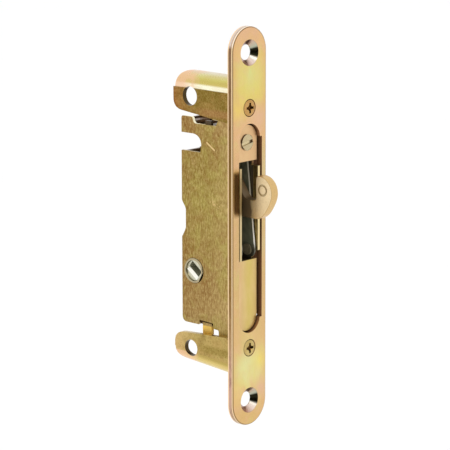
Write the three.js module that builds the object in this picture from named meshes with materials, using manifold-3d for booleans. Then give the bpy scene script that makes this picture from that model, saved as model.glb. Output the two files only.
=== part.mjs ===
// Mortise lock with a swinging hook for a sliding patio door, on a long round-ended adapter plate.
// Millimetres. X across the plate, Y into the door edge, Z up. The plate's back lies on y = 0.
import * as THREE from 'three';
import * as BufferGeometryUtils from 'three/addons/utils/BufferGeometryUtils.js';
import Module from 'manifold-3d';

const wasm = await Module();
wasm.setup();

// ---- driving dimensions -------------------------------------------------------------------------

const GAP = 0.15;                        // clearance between pieces that rest on each other
const RUNNING = 0.1;                     // radial clearance of a pin that turns in its hole

const PLATE = { length: 136.5, width: 16.8, thick: 2.2, edge: 0.5 };
const MOUNT_HOLE = { z: 59.5, bore: 2.6, sink: 4.4, sinkDepth: 1.8 };
const FACE_SCREW = { z: 41.1, head: 2.75, shank: 1.75, sink: 3, end: 6.4, proud: 0.25 };
const SLOT = { endRadius: 5.2, endCentre: 30.6, wide: 6.2, wideTop: 31, wideBottom: -31.2 };

// The two bolt ears. Both stand outside the case on the left and end in a rolled edge. The lower
// ear is the slimmer one, and its roll rises towards the rear.
const LUG = { outer: -7.9, thick: 1.8, rear: 25.2, holeY: 17.6, tabEnd: 5, seam: 0.5 };
const UPPER_LUG = {
  creaseZ: 46.4, roll: 5.5, rise: -0.6, innerFront: 36.5, innerRear: 38.9, holeZ: 44, hole: 3.25,
  rollInset: 0.8, rollCorner: 5.7,
};
const LOWER_LUG = {
  creaseZ: 45.4, roll: 4.9, rise: 4.5, innerFront: 36.7, innerRear: 38, holeZ: 43.15, hole: 2.9,
  rollInset: 0, rollCorner: 10,
};

const CASE = {
  half: 5, sheet: 1, rear: 24.3, top: 36.5, bottom: -35.2, horn: 37.6, hornDepth: 7.4,
  face: -0.95, faceEnd: 35.3, windowTop: 23, windowBottom: -10.85, lipTop: 21.1, lip: -2.35,
  leftLipBottom: -10.4, rightLipBottom: -7.8, flange: 7.3, flangeEnd: 30.9,
};
const INSIDE = CASE.half - CASE.sheet;   // half the clear width between the two case walls
const NOTCH = { bottom: 24.6, top: 30.8, front: 15.2 };
const RECESS = { bottom: -5.4, flatBottom: -1.6, flatTop: 4.1, top: 7.4, front: 22.5 };
const TONGUE = { front: 10.8, rear: 14.9, end: 38 };
const END_CUT = {
  front: 8.2, rear: 19, z: 34.35, lowerFront: 10, lowerRear: 16.9, lowerZ: -33.8, heel: -35.7,
};

const CARRIAGE = { pivotY: 1.2, pivotZ: -7.7, lean: 6.3, front: 2.9, inner: 2.95, outer: 3.65 };
const HOOK_PIVOT = { y: 5, z: 10 };
const HOOK = { half: 1.7, swing: 108, arm: 7, boss: 4, tailBoss: 2.7, pin: 1.5 };
const HOOK_RING = { y: -9.5, z: 14.4, outer: 1.9, inner: 1.45, depth: 0.25 };
const HUB = { y: 18.8, z: -16.6, turn: 90, barrel: 3.55, reach: 4.7, leverHalf: 1.5, rim: 4.35 };
// The keyway's slot, measured across from the hub's axis, and the slope that widens one side of it.
const KEYWAY = { low: -1.15, high: 2, slope: -2.05, slopeDepth: 0.9, length: 5.4, angle: 37 };
const BUSH = { seat: 4.1, collar: 4.35, front: 5.35, flatAngle: 29, flatAt: 3.85 };
const DRIVE_PIN = 1.1;                   // radius of the two pins that work in the drive bars

const BAR = {
  inner: 1.95, outer: 2.7, bottom: -28, top: 12.6, hookSlot: 2, hubSlot: 1.6, footY: 11.3, guideY: 11.6,
};
const ADJUSTER = {
  z: 29.4, head: 2.75, headFront: -1.55, shank: 1.6, end: 11.4,
  slotTurn: 11, slotHalf: 0.55, slotDepth: 0.35,
};

// The bars' stroke is the rise of the hook's tail pin, and the hub lever is as long as that needs.
const halfSwing = THREE.MathUtils.degToRad(HOOK.swing / 2);
const halfTurn = THREE.MathUtils.degToRad(HUB.turn / 2);
const STROKE = 2 * HOOK.arm * Math.sin(halfSwing);
const LEVER_ARM = STROKE / (2 * Math.sin(halfTurn));
const TAIL_PIN = {
  y: HOOK_PIVOT.y + HOOK.arm * Math.cos(halfSwing),
  z: HOOK_PIVOT.z - HOOK.arm * Math.sin(halfSwing),
};
const LEVER_PIN = {
  y: HUB.y - LEVER_ARM * Math.cos(halfTurn),
  z: HUB.z - LEVER_ARM * Math.sin(halfTurn),
};

// ---- materials ----------------------------------------------------------------------------------

const metal = (color, roughness) => new THREE.MeshStandardMaterial({ color, roughness, metalness: 1 });
const PLATED = metal(0xd9b36c, 0.22);    // bright yellow zinc plating
const BRASSY = metal(0xa68c48, 0.36);    // the duller plating on the case
const SATIN = metal(0xdcc08e, 0.34);     // the hook
const SILVER = metal(0xb9b9b4, 0.3);     // hub
const STEEL = metal(0x8f918f, 0.38);     // plain inside pieces

// ---- solids -------------------------------------------------------------------------------------

const toSolid = (geometry) => {
  geometry.deleteAttribute('normal');
  geometry.deleteAttribute('uv');
  const merged = BufferGeometryUtils.mergeVertices(geometry, 1e-4);
  const vertProperties = new Float32Array(merged.attributes.position.array);
  const triVerts = new Uint32Array(merged.index.array);
  return new wasm.Manifold(new wasm.Mesh({ numProp: 3, vertProperties, triVerts }));
};

const toGeometry = (solid) => {
  const mesh = solid.getMesh();
  const geometry = new THREE.BufferGeometry();
  geometry.setAttribute('position', new THREE.BufferAttribute(mesh.vertProperties, 3));
  geometry.setIndex(new THREE.BufferAttribute(mesh.triVerts, 1));
  geometry.computeVertexNormals();
  return geometry;
};

const join = (first, ...others) => others.reduce((sum, solid) => sum.add(solid), first);
const cut = (first, ...others) => others.reduce((rest, solid) => rest.subtract(solid), first);

const axes = {
  x: new THREE.Matrix4().makeBasis(
    new THREE.Vector3(0, 1, 0), new THREE.Vector3(0, 0, 1), new THREE.Vector3(1, 0, 0)),
  y: new THREE.Matrix4().makeBasis(
    new THREE.Vector3(0, 0, 1), new THREE.Vector3(1, 0, 0), new THREE.Vector3(0, 1, 0)),
  z: new THREE.Matrix4(),
};

// A flat outline pushed along an axis. Its own two directions are (y, z) along x, (z, x) along y
// and (x, y) along z. A bevel rounds both faces' edges.
const sheet = (axis, shape, from, to, bevel = 0, curveSegments = 10) => {
  const geometry = new THREE.ExtrudeGeometry(shape, {
    depth: to - from - 2 * bevel,
    bevelEnabled: bevel > 0,
    bevelThickness: bevel,
    bevelSize: bevel,
    bevelOffset: -bevel,
    bevelSegments: 2,
    curveSegments,
  });
  geometry.translate(0, 0, from + bevel);
  return toSolid(geometry.applyMatrix4(axes[axis]));
};

// A round bar or cone along an axis through (a, b), in the same order of directions as sheet().
const cone = (axis, a, b, from, to, fromRadius, toRadius, segments = 28) => {
  const geometry = new THREE.CylinderGeometry(toRadius, fromRadius, to - from, segments);
  geometry.rotateX(Math.PI / 2).translate(a, b, (from + to) / 2);
  return toSolid(geometry.applyMatrix4(axes[axis]));
};
const rod = (axis, a, b, from, to, radius, segments = 28) =>
  cone(axis, a, b, from, to, radius, radius, segments);

const block = (x0, x1, y0, y1, z0, z1) => {
  const geometry = new THREE.BoxGeometry(x1 - x0, y1 - y0, z1 - z0);
  return toSolid(geometry.translate((x0 + x1) / 2, (y0 + y1) / 2, (z0 + z1) / 2));
};

const polygon = (...points) => new THREE.Shape(points.map(([a, b]) => new THREE.Vector2(a, b)));

// A straight slot with round ends between two points.
const capsule = (a0, b0, a1, b1, radius) => {
  const angle = Math.atan2(b1 - b0, a1 - a0);
  const shape = new THREE.Shape();
  shape.absarc(a1, b1, radius, angle - Math.PI / 2, angle + Math.PI / 2, false);
  shape.absarc(a0, b0, radius, angle + Math.PI / 2, angle + 1.5 * Math.PI, false);
  return shape;
};

const group = new THREE.Group();
const add = (name, solid, material) => {
  const mesh = new THREE.Mesh(toGeometry(solid), material);
  mesh.name = name;
  group.add(mesh);
};

// ---- adapter plate and its screws ---------------------------------------------------------------

function adapterPlate() {
  const half = PLATE.width / 2;
  const centre = PLATE.length / 2 - half;
  const outline = capsule(-centre, 0, centre, 0, half);
  const bar = sheet('y', outline, -PLATE.thick, PLATE.thick, PLATE.edge, 40);
  let plate = cut(bar, block(-half - 1, half + 1, 0, PLATE.thick + 1, -PLATE.length, PLATE.length));
  const slot = join(
    sheet('y', capsule(-SLOT.endCentre, 0, SLOT.endCentre, 0, SLOT.endRadius), -3, 1, 0, 20),
    block(0, SLOT.wide, -3, 1, SLOT.wideBottom, SLOT.wideTop),
  );
  plate = cut(plate, slot);
  for (const side of [-1, 1]) {
    const { z, sink, bore, sinkDepth } = MOUNT_HOLE;
    plate = cut(
      plate,
      countersink(side * z, sink, bore, sinkDepth),
      countersink(side * FACE_SCREW.z, FACE_SCREW.sink, FACE_SCREW.shank + 0.3, 1.7),
    );
  }
  add('adapter_plate', plate, PLATED);
}

function countersink(z, wide, bore, depth) {
  const front = -PLATE.thick;
  return join(
    cone('y', z, 0, front, front + depth, wide, bore, 36),
    rod('y', z, 0, front - 1, front + 0.01, wide, 36),
    rod('y', z, 0, -1, 1, bore, 36),
  );
}

// A cross of two slots around a pointed middle, cut into a screw head.
function crossRecess(z, front) {
  const arm = block(-1.75, 1.75, front - 1, front + 0.85, -0.42, 0.42).translate([0, 0, z]);
  const other = block(-0.42, 0.42, front - 1, front + 0.85, -1.75, 1.75).translate([0, 0, z]);
  return join(arm, other, cone('y', z, 0, front - 0.1, front + 1.5, 1.15, 0.2, 16));
}

function faceScrew(name, side) {
  const z = side * FACE_SCREW.z;
  const front = -PLATE.thick;
  const rim = front + 0.05;
  const screw = join(
    cone('y', z, 0, front - FACE_SCREW.proud, rim, FACE_SCREW.head * 0.72, FACE_SCREW.head, 32),
    cone('y', z, 0, rim, rim + 1.45, FACE_SCREW.head, FACE_SCREW.shank, 32),
    rod('y', z, 0, rim + 1.4, FACE_SCREW.end, FACE_SCREW.shank, 24),
    cone('y', z, 0, FACE_SCREW.end - 0.01, FACE_SCREW.end + 0.7, FACE_SCREW.shank, 0.9, 24),
  );
  add(name, cut(screw, crossRecess(z, front - FACE_SCREW.proud)), PLATED);
}

// ---- mounting brackets: a tab behind the plate, an ear along the case and a rolled edge ---------

function earOutline(lug) {
  const crease = (y) => lug.creaseZ - y * Math.tan(THREE.MathUtils.degToRad(lug.rise));
  const corner = 4;
  const ear = new THREE.Shape();
  ear.moveTo(GAP, lug.innerFront);
  ear.lineTo(LUG.rear - corner, lug.innerRear);
  ear.quadraticCurveTo(LUG.rear, lug.innerRear + 0.4, LUG.rear, lug.innerRear + corner);
  ear.lineTo(LUG.rear, crease(LUG.rear));
  ear.lineTo(GAP, crease(GAP));
  return ear;
}

// The rolled edge: a quarter tube from the crease, tapering away at the rear.
function rolledEdge(lug) {
  const { outer, thick } = LUG;
  const centre = outer + lug.roll;
  const end = LUG.rear - lug.rollInset;
  const corner = lug.rollCorner;
  const section = new THREE.Shape();
  section.moveTo(lug.creaseZ - LUG.seam, outer);
  section.absarc(lug.creaseZ, centre, lug.roll, -Math.PI / 2, 0, false);
  section.absarc(lug.creaseZ, centre, lug.roll - thick, 0, -Math.PI / 2, true);
  section.lineTo(lug.creaseZ - LUG.seam, outer + thick);
  const plan = new THREE.Shape();
  plan.moveTo(outer - 1, GAP);
  plan.lineTo(centre + 1, GAP);
  plan.lineTo(centre + 1, end - corner);
  plan.bezierCurveTo(centre - 1, end - 0.4 * corner, outer + 1.5, end, outer - 1, end);
  return sheet('y', section, GAP - 1, end + 2, 0, 12)
    .translate([0, 0, -lug.creaseZ])
    .rotate([-lug.rise, 0, 0])
    .translate([0, 0, lug.creaseZ])
    .intersect(sheet('z', plan, lug.creaseZ - 6, lug.creaseZ + lug.roll + 1, 0, 12));
}

function bracket(name, side, lug) {
  const inner = LUG.outer + LUG.thick;
  const tab = block(
    LUG.outer + 0.6, LUG.tabEnd, GAP, GAP + LUG.thick, lug.innerFront + 1.5, lug.creaseZ + 0.4);
  const solid = cut(
    join(sheet('x', earOutline(lug), LUG.outer, inner), rolledEdge(lug), tab),
    rod('x', LUG.holeY, lug.holeZ, LUG.outer - 1, inner + 1, lug.hole, 40),
    rod('y', FACE_SCREW.z, 0, -1, 4, FACE_SCREW.shank + 0.1, 24),
  );
  add(name, side > 0 ? solid : solid.mirror([0, 0, 1]), PLATED);
}

// ---- case: two sheet shells held by tongues and posts -------------------------------------------

// Outline of a side wall: front lips beside the window, stepped ends, rear notch and shallow recess.
function wallOutline(lipBottom) {
  const corner = 2.2;
  const shape = new THREE.Shape();
  shape.moveTo(0.2, -CASE.horn);
  shape.lineTo(CASE.hornDepth, -CASE.horn);
  shape.lineTo(CASE.hornDepth, END_CUT.heel - 0.6);
  shape.quadraticCurveTo(CASE.hornDepth + 0.1, END_CUT.heel, CASE.hornDepth + 0.7, END_CUT.heel);
  shape.lineTo(END_CUT.lowerFront - 0.5, END_CUT.heel);
  shape.quadraticCurveTo(END_CUT.lowerFront, END_CUT.heel, END_CUT.lowerFront, END_CUT.heel + 0.5);
  shape.lineTo(END_CUT.lowerFront, END_CUT.lowerZ);
  shape.lineTo(END_CUT.lowerRear - 0.6, END_CUT.lowerZ + 0.3);
  shape.lineTo(END_CUT.lowerRear - 0.2, CASE.bottom);
  shape.lineTo(CASE.rear - corner, CASE.bottom);
  shape.quadraticCurveTo(CASE.rear, CASE.bottom, CASE.rear, CASE.bottom + corner);
  shape.lineTo(CASE.rear, RECESS.bottom);
  const { front, flatBottom, flatTop } = RECESS;
  shape.bezierCurveTo(CASE.rear - 0.7, RECESS.bottom + 1.2, front, flatBottom - 1, front, flatBottom);
  shape.lineTo(front, flatTop);
  shape.bezierCurveTo(front, flatTop + 1.2, CASE.rear - 0.8, RECESS.top - 1.6, CASE.rear, RECESS.top);
  shape.lineTo(CASE.rear, NOTCH.bottom);
  shape.lineTo(NOTCH.front + 0.4, NOTCH.bottom + 0.1);
  shape.lineTo(NOTCH.front, NOTCH.bottom + 2.6);
  shape.bezierCurveTo(NOTCH.front, NOTCH.top - 1.4, NOTCH.front + 1.6, NOTCH.top, NOTCH.front + 4, NOTCH.top);
  shape.lineTo(CASE.rear, NOTCH.top);
  shape.lineTo(CASE.rear, CASE.top - 0.9);
  shape.quadraticCurveTo(CASE.rear, CASE.top, CASE.rear - 0.9, CASE.top);
  shape.lineTo(END_CUT.rear + 0.5, CASE.top);
  shape.bezierCurveTo(
    END_CUT.rear - 0.2, CASE.top - 0.2, END_CUT.rear + 0.2, END_CUT.z, END_CUT.rear - 1.4, END_CUT.z);
  shape.lineTo(END_CUT.front + 0.5, END_CUT.z);
  shape.quadraticCurveTo(END_CUT.front, END_CUT.z, END_CUT.front, END_CUT.z + 0.6);
  shape.lineTo(CASE.hornDepth, END_CUT.z + 2);
  shape.lineTo(CASE.hornDepth, CASE.horn);
  shape.lineTo(0.2, CASE.horn);
  shape.lineTo(0.2, CASE.windowTop - 0.4);
  shape.lineTo(0.6, CASE.lipTop);
  shape.lineTo(CASE.lip, CASE.lipTop);
  shape.lineTo(CASE.lip, lipBottom);
  shape.lineTo(0.6, lipBottom);
  shape.lineTo(0.2, CASE.windowBottom + 0.4);
  return shape;
}

function wallHoles(side) {
  const from = side < 0 ? -CASE.half - 1 : INSIDE - 1;
  const to = from + CASE.sheet + 2;
  return [
    rod('x', HUB.y, HUB.z, from, to, BUSH.collar + 0.1, 44),
    rod('x', CARRIAGE.pivotY, CARRIAGE.pivotZ, from, to, 1.25, 24),
  ];
}

// One front flange of the lock face. Its outer end is rounded to follow the slot in the plate.
function faceFlange(side, windowEdge) {
  const radius = CASE.half - 0.05;
  const centre = side * (CASE.faceEnd - radius);
  const outline = join(
    rod('y', centre, 0, CASE.face, 0.4, radius, 48),
    block(-radius, radius, CASE.face, 0.4, Math.min(0, centre), Math.max(0, centre)),
  );
  const low = Math.min(windowEdge, side * CASE.horn);
  const high = Math.max(windowEdge, side * CASE.horn);
  return outline.intersect(block(-CASE.half - 1, CASE.half + 1, -1, 1, low, high));
}

function leftShell() {
  const wall = cut(sheet('x', wallOutline(CASE.leftLipBottom), -CASE.half, -INSIDE), ...wallHoles(-1));
  const rib = sheet('x', capsule(12.4, 28.4, 9, 26.2, 0.35), -CASE.half - 0.25, -INSIDE - 0.4, 0.2, 4);
  let shell = join(wall, rib, faceFlange(1, CASE.windowTop), faceFlange(-1, CASE.windowBottom));
  shell = cut(shell, rod('y', ADJUSTER.z, 0, -2, 1, ADJUSTER.shank + 0.15, 28));
  add('left_case_shell', shell, BRASSY);
}

// The right wall carries the rear wall in three lengths, both end walls and a flange behind the plate.
function rightShell() {
  const wall = cut(
    sheet('x', wallOutline(CASE.rightLipBottom), INSIDE, CASE.half),
    ...wallHoles(1),
    block(INSIDE - 1, CASE.half + 1, -1, 0.4 + GAP, CASE.windowTop - 0.6, CASE.horn + 1),
    block(INSIDE - 1, CASE.half + 1, -1, 0.4 + GAP, -CASE.horn - 1, CASE.windowBottom + 0.6),
  );
  const left = -INSIDE + GAP;
  const right = INSIDE + 0.5;
  const back = CASE.rear - CASE.sheet;
  const flangeBack = 0.4 + GAP;
  const pieces = [wall, block(CASE.half - 0.2, CASE.flange, flangeBack, flangeBack + 0.8,
    -CASE.flangeEnd, CASE.flangeEnd)];
  for (const [low, high] of [
    [CASE.bottom + 2.2, RECESS.bottom - 0.4], [RECESS.top + 0.4, NOTCH.bottom - 0.3],
    [NOTCH.top + 0.3, CASE.top - 1],
  ]) {
    pieces.push(block(left, right, back, CASE.rear, low, high));
  }
  pieces.push(...topWall(left, right), ...bottomWall(left, right));
  add('right_case_shell', join(...pieces), BRASSY);
}

// The top wall stands open in the middle, where only a narrow strap crosses with a turned-up tab.
function topWall(left, right) {
  const [low, high] = [33.1, 34.1];
  return [
    block(left, right, 3, END_CUT.front - 0.3, low, high),
    block(left, right, TONGUE.front + 0.8, TONGUE.rear - 0.6, low, high),
    block(left, left + 1, TONGUE.front + 0.8, TONGUE.rear - 0.6, low, END_CUT.z + 1.3),
    block(left, right, END_CUT.rear, CASE.rear - 2.4, low + 1, high + 1),
  ];
}

// The bottom wall's tongue passes down through the cut in the left wall.
function bottomWall(left, right) {
  const [low, high] = [-35.1, -34.1];
  return [
    block(left, right, 3, CASE.rear - 2.4, low, high),
    block(left - 1, left + 0.2, TONGUE.front, TONGUE.rear, low, high),
    block(left - 1, left + 0.2, TONGUE.front, TONGUE.rear, -TONGUE.end, high),
  ];
}

const casePosts = {
  upper_case_post: [20.4, 32.6],
  middle_case_post: [20.6, 17],
  rear_case_post: [20.9, -28.6],
  lower_case_post: [4.4, -29],
};

// Spacing posts between the walls, each with a waist and two shoulders.
function addCasePosts() {
  for (const [name, [y, z]] of Object.entries(casePosts)) {
    const reach = INSIDE - GAP;
    const post = join(
      rod('x', y, z, -reach, reach, 1, 20),
      rod('x', y, z, -reach, -reach + 1, 1.45, 24),
      rod('x', y, z, reach - 1, reach, 1.45, 24),
    );
    add(name, post, STEEL);
  }
}

// ---- carriage: two cheeks that tilt on stub pivots and carry the hook ----------------------------

// A cheek's outline, drawn upright about its pivot and leaned back to the angle it is set at.
function cheekOutline() {
  const shape = new THREE.Shape();
  const r = CARRIAGE.front;
  shape.absarc(0, 0, r, Math.PI, 1.9 * Math.PI, false);
  shape.lineTo(6.3, 6);
  shape.lineTo(6.3, 30.5);
  shape.quadraticCurveTo(6.3, 32, 7.2, 33);
  shape.lineTo(7.2, 39.6);
  shape.quadraticCurveTo(7.2, 40.6, 6.2, 40.6);
  shape.lineTo(-r + 1, 40.6);
  shape.quadraticCurveTo(-r, 40.6, -r, 39.6);
  return shape;
}

// A point given in the carriage's upright drawing, moved to where it lies on the leaning carriage.
function onCarriage(y, z) {
  const lean = THREE.MathUtils.degToRad(CARRIAGE.lean);
  return {
    y: CARRIAGE.pivotY + y * Math.cos(lean) + z * Math.sin(lean),
    z: CARRIAGE.pivotZ + z * Math.cos(lean) - y * Math.sin(lean),
  };
}

const nutPlace = { y: 8.6, z: ADJUSTER.z };
const spacerPlace = onCarriage(1, 29);

function cheek(name, side) {
  const from = side < 0 ? -CARRIAGE.outer : CARRIAGE.inner;
  const to = side < 0 ? -CARRIAGE.inner : CARRIAGE.outer;
  let plate = sheet('x', cheekOutline(), from, to, 0, 12);
  plate = plate.rotate([-CARRIAGE.lean, 0, 0]).translate([0, CARRIAGE.pivotY, CARRIAGE.pivotZ]);
  plate = cut(
    plate,
    rod('x', CARRIAGE.pivotY, CARRIAGE.pivotZ, from - 1, to + 1, 1.2 + RUNNING, 28),
    rod('x', HOOK_PIVOT.y, HOOK_PIVOT.z, from - 1, to + 1, HOOK.pin + RUNNING, 32),
    rod('x', nutPlace.y, nutPlace.z, from - 1, to + 1, 1.3, 24),
    rod('x', spacerPlace.y, spacerPlace.z, from - 1, to + 1, 0.9, 20),
  );
  add(name, plate, STEEL);
}

function carriagePivot(name, side) {
  const stub = join(
    rod('x', CARRIAGE.pivotY, CARRIAGE.pivotZ, CARRIAGE.inner - 0.2, CASE.half - 0.35, 1.2, 28),
    rod('x', CARRIAGE.pivotY, CARRIAGE.pivotZ, HOOK.half + 0.5, CARRIAGE.inner - GAP, 1.9, 28),
  );
  add(name, side > 0 ? stub : stub.mirror([1, 0, 0]), STEEL);
}

function carriageSpacer() {
  const { y, z } = spacerPlace;
  const inner = CARRIAGE.inner - GAP;
  add('carriage_spacer', join(
    rod('x', y, z, -CARRIAGE.outer, CARRIAGE.outer, 0.8, 20),
    rod('x', y, z, -inner, inner, 1.1, 24),
  ), STEEL);
}

function adjusterNut() {
  const { y, z } = nutPlace;
  const inner = CARRIAGE.inner - GAP;
  const nut = join(
    block(-inner, inner, y - 1.9, y + 1.9, z - 2.6, z + 2.6),
    rod('x', y, z, -CARRIAGE.outer, CARRIAGE.outer, 1.2, 24),
  );
  add('adjuster_nut', cut(nut, rod('y', z, 0, 0, 20, ADJUSTER.shank + 0.55, 28)), STEEL);
}

function adjustingScrew() {
  const { head, headFront, shank, z, end, slotHalf, slotTurn, slotDepth } = ADJUSTER;
  const seat = CASE.face - GAP;
  const screw = join(
    rod('y', z, 0, headFront + 0.15, seat, head, 36),
    cone('y', z, 0, headFront, headFront + 0.16, head - 0.25, head, 36),
    rod('y', z, 0, seat - 0.01, end, shank, 28),
    cone('y', z, 0, end - 0.01, end + 0.5, shank, 1.1, 28),
  );
  const slot = block(-4, 4, headFront - 1, headFront + slotDepth, -slotHalf, slotHalf)
    .rotate([0, -slotTurn, 0]).translate([0, 0, z]);
  add('adjusting_screw', cut(screw, slot), PLATED);
  const ring = rod('y', z, 0, 0.4 + GAP, 0.4 + GAP + 0.7, 2.6, 28);
  add('adjuster_clip', cut(
    ring,
    rod('y', z, 0, 0, 3, shank + 0.08, 28),
    block(-0.8, 0.8, 0, 3, z - 4, z),
  ), STEEL);
}

// ---- hook ---------------------------------------------------------------------------------------

// The beak, its throat and the arm back to the pivot, drawn with the hook swung out.
function hookOutline() {
  const shape = new THREE.Shape();
  shape.moveTo(-6.4, 11.7);
  shape.lineTo(-6.4, 17.6);
  shape.quadraticCurveTo(-6.4, 18.9, -7.7, 19.05);
  shape.bezierCurveTo(-10.6, 19.3, -13.5, 16.9, -13.5, 13.4);
  shape.bezierCurveTo(-13.5, 11.4, -12.3, 9.2, -10.9, 7.2);
  shape.bezierCurveTo(-9.6, 5.3, -8, 4.25, -5.6, 4.25);
  shape.lineTo(1, 4.35);
  shape.lineTo(HOOK_PIVOT.y, HOOK_PIVOT.z - HOOK.boss);
  shape.lineTo(HOOK_PIVOT.y + 2, HOOK_PIVOT.z + 3.6);
  shape.quadraticCurveTo(5.9, 17.3, 3.9, 17.2);
  shape.quadraticCurveTo(2.3, 17.1, 1.4, 15.4);
  shape.lineTo(-0.5, 12.4);
  shape.quadraticCurveTo(-1.5, 10.7, -3, 10.6);
  shape.lineTo(-5.3, 10.6);
  shape.quadraticCurveTo(-6.4, 10.7, -6.4, 11.7);
  return shape;
}

function hook() {
  const { y, z } = HOOK_PIVOT;
  const { half } = HOOK;
  const tail = capsule(y, z, TAIL_PIN.y, TAIL_PIN.z, HOOK.tailBoss);
  const body = join(
    sheet('x', hookOutline(), -half, half, 0.35, 8),
    rod('x', y, z, -half, half, HOOK.boss, 40),
    sheet('x', tail, -half, half, 0, 14),
  );
  const { outer, inner, depth } = HOOK_RING;
  const ring = cut(
    rod('x', HOOK_RING.y, HOOK_RING.z, -half - 1, -half + depth, outer, 32),
    rod('x', HOOK_RING.y, HOOK_RING.z, -half - 1, -half + 1, inner, 32),
  );
  add('hook', cut(
    body, ring,
    rod('x', y, z, -3, 3, HOOK.pin + RUNNING, 32),
    rod('x', TAIL_PIN.y, TAIL_PIN.z, -3, 3, DRIVE_PIN + 0.06, 24),
  ), SATIN);
  add('hook_drive_pin', rod('x', TAIL_PIN.y, TAIL_PIN.z, -BAR.outer, BAR.outer, DRIVE_PIN, 24), STEEL);
  const reach = CARRIAGE.outer + 0.1;
  add('hook_pivot_pin', rod('x', y, z, -reach, reach, HOOK.pin, 32), STEEL);
  for (const [name, from] of [['left_hook_washer', -BAR.outer], ['right_hook_washer', BAR.inner]]) {
    const to = from + BAR.outer - BAR.inner;
    const washer = rod('x', y, z, from, to, 2.15, 28);
    add(name, cut(washer, rod('x', y, z, from - 1, to + 1, HOOK.pin + 0.08, 28)), STEEL);
  }
}

// ---- drive bars: they slide up and down between the hub's lever and the hook's tail -------------

function guideStuds() {
  return [{ name: 'upper', y: BAR.guideY, z: -0.9 }, { name: 'lower', y: BAR.guideY, z: -4.6 }];
}

function barOutline() {
  const spine = 14.45;
  const front = 8.35;
  const rearLow = 14.2;
  const frontLow = 7;
  return polygon(
    [frontLow, BAR.bottom], [rearLow, BAR.bottom],
    [rearLow, LEVER_PIN.z - BAR.hubSlot], [9.4, LEVER_PIN.z - BAR.hubSlot],
    [9.4, LEVER_PIN.z + BAR.hubSlot], [rearLow, LEVER_PIN.z + BAR.hubSlot],
    [rearLow, -4], [17, -1], [17, BAR.top - 1], [16, BAR.top], [front, BAR.top],
    [front, TAIL_PIN.z + BAR.hookSlot], [spine, TAIL_PIN.z + BAR.hookSlot],
    [spine, TAIL_PIN.z - BAR.hookSlot], [front, TAIL_PIN.z - BAR.hookSlot],
    [front, -14], [frontLow, -16],
  );
}

function driveBars() {
  const studs = guideStuds();
  const slide = capsule(BAR.guideY, studs[0].z + 0.3, BAR.guideY, studs[1].z - STROKE - 0.3, 1.05);
  const footZ = LEVER_PIN.z - 3.7;
  for (const [name, from] of [['left_drive_bar', -BAR.outer], ['right_drive_bar', BAR.inner]]) {
    const to = from + BAR.outer - BAR.inner;
    add(name, cut(
      sheet('x', barOutline(), from, to),
      sheet('x', slide, from - 1, to + 1),
      rod('x', BAR.footY, footZ, from - 1, to + 1, 0.7, 20),
    ), STEEL);
  }
  const inner = BAR.inner - GAP;
  add('drive_bar_foot_pin', join(
    rod('x', BAR.footY, footZ, -BAR.outer - 0.3, BAR.outer + 0.3, 0.6, 20),
    rod('x', BAR.footY, footZ, -inner, inner, 0.9, 20),
  ), STEEL);
  for (const { name, y, z } of studs) {
    for (const [hand, side] of [['left', -1], ['right', 1]]) {
      const stud = join(
        rod('x', y, z, BAR.inner - 0.1, BAR.outer + 0.5, 0.7, 20),
        rod('x', y, z, BAR.outer + GAP, INSIDE - 0.1, 1.5, 24),
      );
      add(`${hand}_${name}_guide_stud`, side > 0 ? stud : stud.mirror([1, 0, 0]), STEEL);
    }
  }
}

// ---- hub ----------------------------------------------------------------------------------------

// The keyway goes right through. At both ends one long side slopes outwards.
function keyway() {
  const { low, high, slope, slopeDepth, length, angle } = KEYWAY;
  const { y, z, reach } = HUB;
  const end = reach + 0.01;
  const start = reach - slopeDepth;
  const wedge = polygon([low + 0.1, start], [low + 0.1, end], [slope, end], [low, start]);
  const lead = sheet('y', wedge, -length / 2, length / 2);
  return join(block(-9, 9, -length / 2, length / 2, low, high), lead, lead.mirror([1, 0, 0]))
    .rotate([angle, 0, 0]).translate([0, y, z]);
}

function hub() {
  const { y, z, barrel, reach, leverHalf, rim } = HUB;
  add('hub', cut(rod('x', y, z, -reach, reach, barrel, 44), keyway()), SILVER);
  const lever = join(
    rod('x', y, z, -leverHalf, leverHalf, rim, 40),
    sheet('x', capsule(y, z, LEVER_PIN.y, LEVER_PIN.z, 1.9), -leverHalf, leverHalf, 0, 12),
  );
  add('hub_lever', cut(
    lever,
    rod('x', y, z, -3, 3, barrel + 0.08, 40),
    rod('x', LEVER_PIN.y, LEVER_PIN.z, -3, 3, DRIVE_PIN + 0.06, 24),
    rod('x', y, z - rim - 0.4, -3, 3, 0.7, 16),
    rod('x', y + rim + 0.4, z, -3, 3, 0.7, 16),
  ), STEEL);
  add('hub_drive_pin', rod('x', LEVER_PIN.y, LEVER_PIN.z, -BAR.outer, BAR.outer, DRIVE_PIN, 24), STEEL);
  hubBush('left_hub_bush', -1);
  hubBush('right_hub_bush', 1);
}

// A flanged bush in the case wall. Its collar has one flat, on the side towards the lower front.
function hubBush(name, side) {
  const { y, z, barrel, leverHalf } = HUB;
  const flat = block(-9, 9, -9, -BUSH.flatAt, -9, 9).rotate([BUSH.flatAngle, 0, 0]).translate([0, y, z]);
  const bush = cut(
    join(
      rod('x', y, z, leverHalf + 1.3, INSIDE + 0.4, BUSH.seat, 44),
      rod('x', y, z, INSIDE + 0.3, BUSH.front - 0.2, BUSH.collar, 44),
      cone('x', y, z, BUSH.front - 0.21, BUSH.front, BUSH.collar, BUSH.collar - 0.2, 44),
    ),
    flat,
    rod('x', y, z, 0, CASE.half + 2, barrel + RUNNING, 44),
  );
  add(name, side > 0 ? bush : bush.mirror([1, 0, 0]), SILVER);
}

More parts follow.
